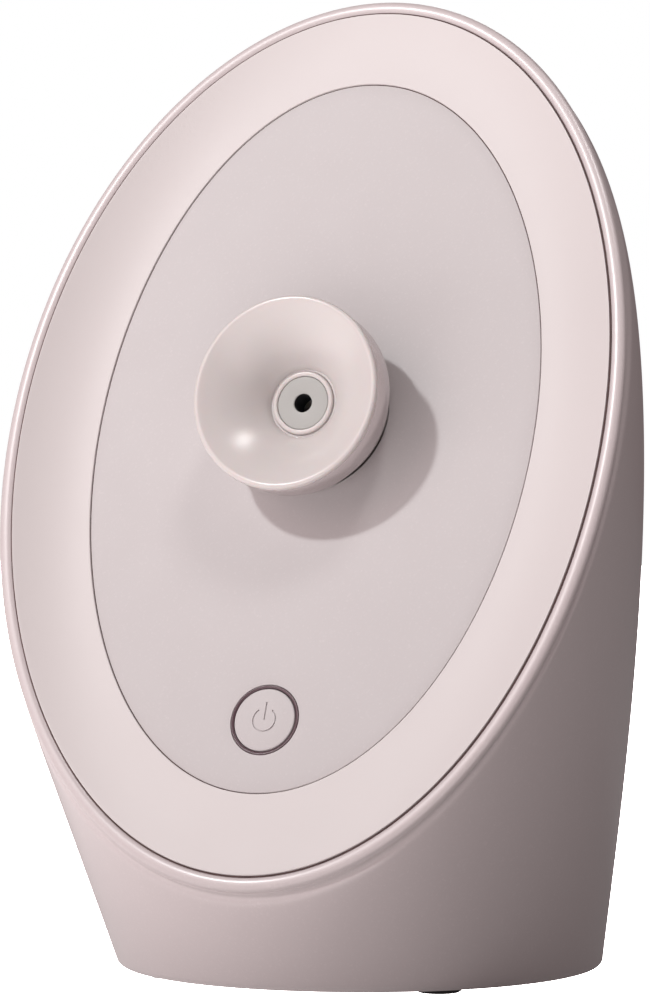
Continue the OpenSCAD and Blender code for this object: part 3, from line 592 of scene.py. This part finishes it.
def build_pocket(grip):
    """The closed cup behind the cover's finger hole, whose outline is grip."""
    cup_wall, overlap = 1.6, 0.2
    floor = wall_point(0, share_at(0, GRIP_Z), 0).y - GRIP_DEPTH

    def at_floor(outline, rise, across, up):
        return [(x * across, floor + rise, GRIP_Z + z * up) for x, z in outline]

    def behind_cover(outline):
        return [(x, back_point(x, GRIP_Z + z, TANK_SKIN - overlap).y, GRIP_Z + z) for x, z in outline]

    wide = round_box(GRIP_W + cup_wall, GRIP_H + cup_wall, 3 + cup_wall)
    loops = [
        at_floor(wide, -cup_wall, 1, 1),
        behind_cover(wide),
        behind_cover(grip),
        at_floor(grip, 1.2, 0.985, 0.97),
        at_floor(grip, 0, 0.94, 0.85),
    ]
    points = [p for loop in loops for p in loop]
    new_piece("grip_pocket", points, loft_faces(len(grip), len(loops)), "tank", "housing")


# ---- Face ----


def build_ring():
    """The dished ring between the two seams."""
    start_rx, start_ry = PANEL_RX + SEAM_GAP / 2, PANEL_RY + SEAM_GAP / 2
    width, height = RING_RX - PANEL_RX - SEAM_GAP, RING_RY - PANEL_RY - SEAM_GAP
    inner_rise, outer_drop, dish = 0.3, 0.2, 1.9

    def place(phi, across, drop):
        t = across / width
        return on_face((start_rx + t * width) * math.sin(phi),
                       (start_ry + t * height) * math.cos(phi) + RING_SHIFT * t,
                       inner_rise + (seam_height(phi) - outer_drop) * t**dish - drop)

    lip, steps, turns = 0.22, 28, (0.4, 0.8, 1.2)
    section = [(0, lip)]
    section += [(lip * (1 - math.cos(a)), lip * (1 - math.sin(a))) for a in turns]
    section += [(lip + (width - 2 * lip) * k / steps, 0) for k in range(steps + 1)]
    section += [(width - lip * (1 - math.cos(a)), lip * (1 - math.sin(a))) for a in reversed(turns)]
    section += [(width, lip), (width, PANEL_T), (width / 2, PANEL_T), (0, PANEL_T)]
    sweep("face_ring", section, place, "root", "face_ring", ("front_ring",))


def build_seam_shadow_strips():
    """Dark strips a little below the surface in both seam gaps: painted shade, standing in for the shadow deep in
    the gaps.
    """
    def inner(phi, across, drop):
        grow = across - SEAM_GAP / 2
        return on_face((PANEL_RX + grow) * math.sin(phi), (PANEL_RY + grow) * math.cos(phi), -drop)

    section = [(0.0, 0.3), (SEAM_GAP, 0.3), (SEAM_GAP, 1.3), (0.0, 1.3)]
    for name, place in (("outer_seam_shade", rim_point), ("inner_seam_shade", inner)):
        sweep(name, section, place, "root", "button_ring", look="seam")


def oval_loop(x, y, rx, ry, z, count):
    return [on_face(x + rx * math.cos(a), y + ry * math.sin(a), z) for a in turned(count)]


def lip_section(edge, inward):
    """How a plate's edge grows outward and where it stands, from its back up round its lip to its front."""
    return rounded([(0, -PANEL_T), (0, 0), (inward, 0)], [0, edge, 0], 5, closed=False)


def build_panel():
    """The inner panel, with rounded edges at its rim, the nozzle's opening and the button's hole."""
    lip = 0.2
    opening = math.sqrt(BALL_R**2 - (BALL_Z - NOZZLE_DROP) ** 2) + 0.3
    rim_rx, rim_ry = PANEL_RX - SEAM_GAP / 2, PANEL_RY - SEAM_GAP / 2
    bm = bmesh.new()

    def add_loops(loops):
        made = [[bm.verts.new(p * MM) for p in loop] for loop in loops]
        for a, b in zip(made, made[1:]):
            for k in range(len(a)):
                bm.faces.new((a[k], a[(k + 1) % len(a)], b[(k + 1) % len(a)], b[k]))
        return made[0], made[-1]

    def fill(loops):
        edges = [bm.edges.get((a, b)) for loop in loops for a, b in zip(loop, loop[1:] + loop[:1])]
        bmesh.ops.triangle_fill(bm, use_beauty=True, edges=edges)

    ovals = [(0, 0, rim_rx, rim_ry, FACE_TURNS, lip_section(lip, -4)),
             (0, NOZZLE_UP, opening, opening, 192, lip_section(lip, 3)),
             (0, BUTTON_UP, BUTTON_HOLE_R, BUTTON_HOLE_R, 128, lip_section(0.08, 3))]
    ends = [add_loops([oval_loop(x, y, rx + grow, ry + grow, z, count) for grow, z in section])
            for x, y, rx, ry, count, section in ovals]
    fill([front for back, front in ends])
    fill([back for back, front in ends])
    mesh = bpy.data.meshes.new("face_panel")
    bm.to_mesh(mesh)
    bm.free()
    finish_piece(link_object("face_panel", mesh), "root", "face_panel", ("front_panel",))


# ---- Nozzle ----


def build_bell():
    """The open bell, a funnel in front with a rolled lip and a thin wall behind it."""
    funnel = smooth([
        (9.4, 10.75), (9.62, 11.15), (10.1, 12.0), (11.6, 13.95), (14, 16.5), (17, 18.98), (20, 20.95),
        (22.6, 22.3), (24.0, 22.98), (24.95, 23.3), (25.75, 23.1), (26.1, 22.4), (25.8, 21.65), (25, 21.25),
    ])
    bell = [(8.72, 9.2), (8.72, 10.3), (9.25, 10.3)] + funnel + [
        (22.3, 20.7), (21.6, 20.1), (18.6, 18.1), (15.6, 15.9), (12.8, 13), (11, 11.2), (11, 9),
    ]
    lathe("bell_cup", bell, on_head, "nozzle_head", "bell", ("nozzle_bell",), turns=256)


def build_ball():
    """The hollow ball behind the bell, with a belt where the two meet."""
    steps, wall = 30, 1.6
    foot, waist, top = math.radians(-52), math.radians(-8.5), math.radians(12)

    def arc(radius, start, end):
        return [(radius * math.cos(a), BALL_Z + radius * math.sin(a))
                for a in (start + (end - start) * k / steps for k in range(steps + 1))]

    belt = smooth([
        (24.35, 11.75), (25.1, 12.2), (BELT_R, 13.1), (BELT_R, 14.5), (BELT_R, 16.2), (25.3, 18.0), (24.6, 20.1),
    ])
    lathe("ball_body", arc(BALL_R, foot, waist) + belt + arc(BALL_R - wall, top, foot), on_head,
          "nozzle_head", "ball", ("nozzle_shell",), turns=256)


def build_tip():
    """The steam tip with its hole, and the pale collar round it."""
    collar = rounded(
        [(7.25, 5), (7.25, 11.1), (8.6, 11.1), (8.6, 6.6), (10.9, 6.6), (10.9, 8.9), (12, 8.9), (12, 5.4), (9, 5)],
        [0, 0.4, 0.55, 0.2, 0.2, 0, 0, 0, 0], 7,
    )
    lathe("tip_collar", collar, on_head, "nozzle_head", "bell", ("tip_ring",))
    disc = rounded(
        [(2.5, 4), (2.5, 10.8), (7.2, 10.8), (7.2, 3), (6.2, 3), (6.2, 6), (4, 6), (4, 4)],
        [0, 0.3, 0.35, 0, 0, 0, 0, 0], 6,
    )
    lathe("tip_disc", disc, on_head, "nozzle_head", "tip", ("steam_tip",))
    # Painted shade: a dark sleeve inside the steam hole, standing in for the shadow deep in the hole.
    hole_shade = [(2.46, 4.1), (2.8, 4.1), (2.8, 10.4), (2.46, 10.55)]
    lathe("orifice_painted_shade", hole_shade, on_head, "nozzle_head", "dark_plastic", turns=96)


def build_sleeve():
    """The bellows between the swivel stem and the head, shaped with a graded share of the head's tilt at rest."""
    foot, cuff_top, head_end = -2.5, -1.5, 5.8
    first, pitch, last, ridges = -1.15, 0.75, 1.6, 5
    bend_from = first - pitch

    def place(x, y, z):
        return on_head(x, y, z, min(max((z - bend_from) / (last - bend_from), 0), 1))

    outer, inner = [(5.8, foot), (5.8, cuff_top)], [(4.4, foot), (4.4, cuff_top)]
    for k in range(ridges):
        ridge = first - 0.125 + pitch * k
        outer += [(5.15, ridge - 0.34), (5.85, ridge - 0.1), (5.85, ridge + 0.1)]
        inner += [(4.3, ridge - 0.34), (4.9, ridge - 0.1), (4.9, ridge + 0.1)]
    outer += [(5.15, last + 0.42), (5.7, last + 0.7), (5.7, head_end)]
    inner += [(4.3, last + 0.42), (4.4, last + 0.7), (4.4, head_end)]
    sleeve = lathe("steam_bellows", outer + inner[::-1], place, None, slot_of["steam_sleeve"],
                   ("steam_sleeve",), turns=96)
    start, end = place(0, 0, cuff_top) * MM, place(0, 0, last + 0.5) * MM
    tuple(start)
    tuple(end)
    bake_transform(sleeve)


# ---- Button ----

CAP_TOP = 0.15


def mark_cutters():
    """The power mark as closed cutters: a broken ring and a bar, in millimetres on the button's face."""
    radius, width, depth, bar_top = 3.15, 0.42, 0.28, 4.7
    start, end, steps = math.radians(125), math.radians(415), 60
    turn = [start + (end - start) * k / steps for k in range(steps + 1)]
    outside, inside = radius + width / 2, radius - width / 2
    broken_ring = [(outside * math.cos(a), outside * math.sin(a)) for a in turn]
    broken_ring += [(inside * math.cos(a), inside * math.sin(a)) for a in reversed(turn)]
    bar = [(-width / 2, 0), (width / 2, 0), (width / 2, bar_top), (-width / 2, bar_top)]
    return [mesh_object("mark", [on_button(x, y, z) for z in (CAP_TOP - depth, CAP_TOP + 1) for x, y in outline],
                        loft_faces(len(outline))) for outline in (broken_ring, bar)]


def build_button():
    section = rounded([(8.42, -2.2), (8.42, CAP_TOP), (0.6, CAP_TOP)], [0, 0.35, 0], 8, closed=False)
    count, size = 160, len(section)
    points = [on_button(r * math.cos(a), r * math.sin(a), z) for a in turned(count) for r, z in section]
    faces = grid_faces(count, size, True, False)
    faces += [tuple(i * size + size - 1 for i in range(count)), tuple(i * size for i in reversed(range(count)))]
    cap = new_piece("button_disc", points, faces, "button", "button", ("button_cap",))
    cut(cap, mark_cutters())
    bezel = rounded(
        [(8.6, -4.4), (8.6, -0.1), (9.5, 0.25), (9.5, -2.3), (11.4, -2.3), (11.4, -4.4)],
        [0, 0.2, 0.35, 0, 0, 0], 7,
    )
    lathe("button_bezel_ring", bezel, on_button, "root", "button_ring", ("button_bezel",))


def build_spring():
    """The rubber dome spring under the cap."""
    top, foot = -2.25, -5.95
    profile = rounded(
        [(2.6, top), (5, top), (7.6, -5.2), (7.6, foot), (6.4, foot), (4.4, -3.2), (2.6, -3.2)],
        [0.15, 0.3, 0.2, 0, 0, 0.2, 0.1], 4,
    )
    spring = lathe("dome_spring", profile, on_button, "root", slot_of["button_spring"], ("button_spring",), turns=96)
    tuple(on_button(0, 0, foot) * MM)
    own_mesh(spring)


# ---- Stage, camera and light ----

STUDIO = {
    # name: direction from the face's middle, distance, size, power, colour
    "key": ((-0.415, -0.606, 0.679), 3.2, (0.19, 0.19), 42, (0.975, 1.0, 1.0)),
    "fill_box": ((-0.52, -0.74, 0.42), 3.2, (2.0, 2.2), 26, (1.0, 0.83, 0.82)),
    "top_box": ((0.262, -0.235, 0.936), 1.3, (0.28, 0.28), 4.4, (1.0, 0.985, 0.975)),
}
FLOOR_HALF = 6.0
FLOOR_GREY, FLOOR_GLOW_COLOUR = (0.3, 0.3, 0.3), (1, 0.94, 0.935, 1)
DIM_GLOW, BRIGHT_GLOW, GLOW_SPREAD = 0.12, 1.7, 0.27
LIT_SIDE = (-0.6, -0.8, 0)
SEEN_LIFT = 5.0
AROUND_COLOUR, AROUND_POWER = (1, 0.78, 0.78, 1), 0.17


def stage():
    """A floor that looks white to the camera, and lights the object more from the lit side."""
    s = Shader("floor", FLOOR_GREY, 0.8)
    s.bump(s.noise(0.01, 2), 0.00002)
    s.bsdf.inputs["Emission Color"].default_value = FLOOR_GLOW_COLOUR
    seen = s.node("ShaderNodeLightPath").outputs["Is Camera Ray"]
    toward = s.node("ShaderNodeVectorMath", operation="DOT_PRODUCT")
    toward.inputs[1].default_value = LIT_SIDE
    s.link(s.place, toward.inputs[0])
    glow = s.spread(toward.outputs["Value"], 0.0, GLOW_SPREAD, DIM_GLOW, BRIGHT_GLOW)
    lift = s.math("MULTIPLY", seen, SEEN_LIFT)
    s.link(s.math("ADD", glow, lift), s.bsdf.inputs["Emission Strength"])
    half = FLOOR_HALF / MM
    floor = mesh_object("floor", [(-half, -half, 0), (half, -half, 0), (half, half, 0), (-half, half, 0)],
                        [(0, 1, 2, 3)])
    floor.data.materials.append(s.material)


def aim(obj, place, target):
    """Puts a light or camera at a place and points it at the target, both in metres."""
    obj.location = place
    obj.rotation_euler = (Vector(target) - Vector(place)).to_track_quat("-Z", "Y").to_euler()


def area_light(name, direction, distance, size, power, colour):
    light = bpy.data.lights.new(name, "AREA")
    light.shape = "RECTANGLE"
    light.size, light.size_y = size
    light.energy = power
    light.color = colour
    middle = FACE * MM
    aim(link_object(name, light), middle + Vector(direction).normalized() * distance, middle)


def lights():
    for name, settings in STUDIO.items():
        area_light(name, *settings)


def surroundings():
    """A world that looks white to the camera, and lights the object with a dim pink."""
    world = bpy.data.worlds.new("studio")
    bpy.context.scene.world = world
    world.use_nodes = True
    tree = world.node_tree
    tree.nodes.clear()
    backgrounds = []
    for colour, power in ((AROUND_COLOUR, AROUND_POWER), ((1, 1, 1, 1), 1.0)):
        node = tree.nodes.new("ShaderNodeBackground")
        node.inputs["Color"].default_value = colour
        node.inputs["Strength"].default_value = power
        backgrounds.append(node)
    path = tree.nodes.new("ShaderNodeLightPath")
    mix = tree.nodes.new("ShaderNodeMixShader")
    out = tree.nodes.new("ShaderNodeOutputWorld")
    tree.links.new(path.outputs["Is Camera Ray"], mix.inputs["Fac"])
    for node, socket in zip(backgrounds, (mix.inputs[1], mix.inputs[2])):
        tree.links.new(node.outputs[0], socket)
    tree.links.new(mix.outputs[0], out.inputs["Surface"])


def camera():
    """The photo's level view, from the front and a little to the right."""
    azimuth, distance = math.radians(23.69), 1.0
    shift_right, shift_up = 0.00366, -0.01926
    target = Vector((shift_right, FACE.y * MM, FACE.z * MM + shift_up))
    data = bpy.data.cameras.new("camera")
    data.lens = 136.4
    data.sensor_width = 36
    data.sensor_fit = "VERTICAL"
    data.sensor_height = 36
    data.clip_start = 0.01
    obj = link_object("camera", data)
    back = Vector((math.sin(azimuth), -math.cos(azimuth), 0))
    aim(obj, target + back * distance, target)
    bpy.context.scene.camera = obj


camera()
build_housing()
build_cover()
build_ring()
build_panel()
build_seam_shadow_strips()
build_bell()
build_ball()
build_tip()
build_sleeve()
build_button()
build_spring()
stage()
lights()
surroundings()
bpy.context.scene.view_settings.view_transform = "Standard"
